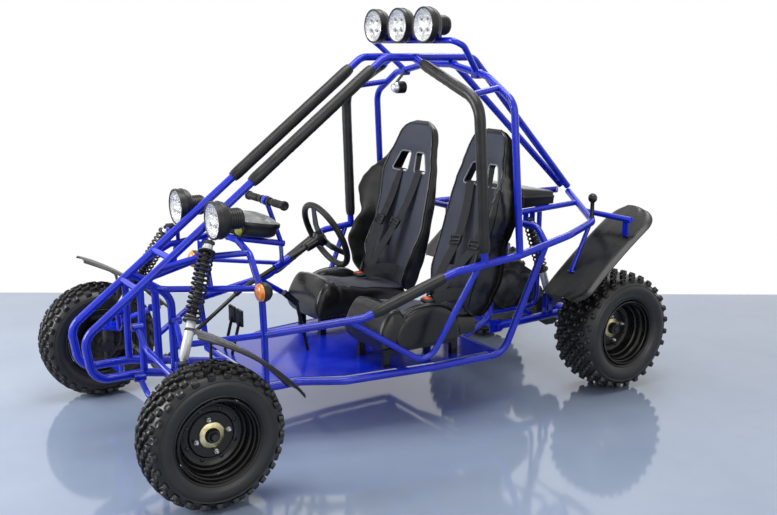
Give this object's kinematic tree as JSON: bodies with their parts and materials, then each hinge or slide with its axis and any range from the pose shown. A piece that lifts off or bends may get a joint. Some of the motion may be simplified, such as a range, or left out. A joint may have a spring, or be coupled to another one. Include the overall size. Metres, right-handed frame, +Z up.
{
  "type": "dune buggy",
  "caption": "Open two-seat off-road buggy on a bent-tube space frame, with lugged tyres, arched mudguards, roof lamps, rack steering and a rear engine on a swing arm.",
  "frame": {"origin": "on the ground midway between the axles, on the centre plane", "axes": "+Z up, the nose towards -Y, +X to the vehicle's left"},
  "size_m": [1.484, 2.5696, 1.712],
  "materials": {
    "blue_tube": "deep gloss",
    "black_steel": "satin",
    "foam": "matt foam sleeve",
    "tyre": "matt with moulded lugs",
    "bright_steel": "zinc bright",
    "black_plastic": "fine moulded grain",
    "grip_rubber": "soft grip",
    "seat_cover": "vinyl bolsters with woven centres",
    "amber": "clear amber",
    "engine_alloy": "dark cast"
  },
  "bodies": {
    "chassis": {"air_box": "black_plastic", "bulkhead_tubes": "blue_tube", "cabin_lamp": "black_plastic", "column_bracket": "black_steel", "controls": "black_steel", "cowl_hoop": "blue_tube", "engine": "engine_alloy", "exhaust": "black_steel", "fender_bars": "blue_tube", "floor_frame": "blue_tube", "floor_pan": "blue_tube", "front_hoop": "blue_tube", "grab_handle": "grip_rubber", "instrument_hood": "black_plastic", "lamp_bar": "blue_tube", "lamps": "black_plastic", "main_hoop": "blue_tube", "nose_rails": "blue_tube", "pillar_pads": "foam", "rack_housing": "black_steel", "rail_pads": "foam", "rear_fenders": "black_plastic", "screen_pads": "foam", "seat_left": "seat_cover", "seat_rails": "black_steel", "seat_right": "seat_cover", "shocks": "bright_steel", "side_rails": "blue_tube", "spine_crossbars": "blue_tube", "spine_tubes": "blue_tube", "swing_arm": "blue_tube", "tail_frame": "blue_tube", "turn_signals": "amber", "v_tubes": "blue_tube", "wishbones": "blue_tube"},
    "steering": {"steering_wheel": "grip_rubber"},
    "lower_shaft": {"lower_shaft": "black_steel"},
    "rack": {"steering_rack": "bright_steel"},
    "knuckle_left": {"knuckle_left": "black_steel", "front_fender_left": "black_plastic"},
    "knuckle_right": {"knuckle_right": "black_steel", "front_fender_right": "black_plastic"},
    "wheel_front_left": {"front_tyre_left": "tyre", "front_rim_left": "black_steel", "front_hub_left": "bright_steel"},
    "wheel_front_right": {"front_tyre_right": "tyre", "front_rim_right": "black_steel", "front_hub_right": "bright_steel"},
    "rear_axle": {"rear_axle": "bright_steel", "rear_rims": "black_steel", "rear_tyres": "tyre"}
  },
  "joints": [
    {"name": "steering_turn", "type": "hinge", "parent": "chassis", "child": "steering", "pos_m": [-0.286, -0.048, 0.686], "axis": [0, 0.9063, 0.4226], "range_deg": [-135, 135]},
    {"name": "shaft_turn", "type": "hinge", "parent": "chassis", "child": "lower_shaft", "pos_m": [-0.286, -0.47397, 0.48737], "axis": [-0.262, 0.8498, 0.4574], "range_deg": [-135, 135]},
    {"name": "rack_slide", "type": "slide", "parent": "chassis", "child": "rack", "axis": [1, 0, 0], "range_m": [-0.05, 0.05]},
    {"name": "kingpin_left", "type": "hinge", "parent": "chassis", "child": "knuckle_left", "pos_m": [0.52, -1.015, 0.258], "axis": [0, 0, 1], "range_deg": [-30, 30]},
    {"name": "kingpin_right", "type": "hinge", "parent": "chassis", "child": "knuckle_right", "pos_m": [-0.52, -1.015, 0.258], "axis": [0, 0, 1], "range_deg": [-30, 30]},
    {"name": "wheel_front_left_spin", "type": "hinge", "parent": "knuckle_left", "child": "wheel_front_left", "pos_m": [0.657, -1.015, 0.254], "axis": [1, 0, 0], "continuous": true},
    {"name": "wheel_front_right_spin", "type": "hinge", "parent": "knuckle_right", "child": "wheel_front_right", "pos_m": [-0.657, -1.015, 0.254], "axis": [1, 0, 0], "continuous": true},
    {"name": "rear_axle_spin", "type": "hinge", "parent": "chassis", "child": "rear_axle", "pos_m": [0, 1.015, 0.272], "axis": [1, 0, 0], "continuous": true}
  ],
  "couplings": [
    {"joint": "shaft_turn", "follows": "steering_turn", "ratio": 1},
    {"joint": "rack_slide", "follows": "steering_turn", "m_per_rad": -0.0212},
    {"joint": "kingpin_left", "follows": "steering_turn", "ratio": 0.2222},
    {"joint": "kingpin_right", "follows": "steering_turn", "ratio": 0.2222}
  ]
}
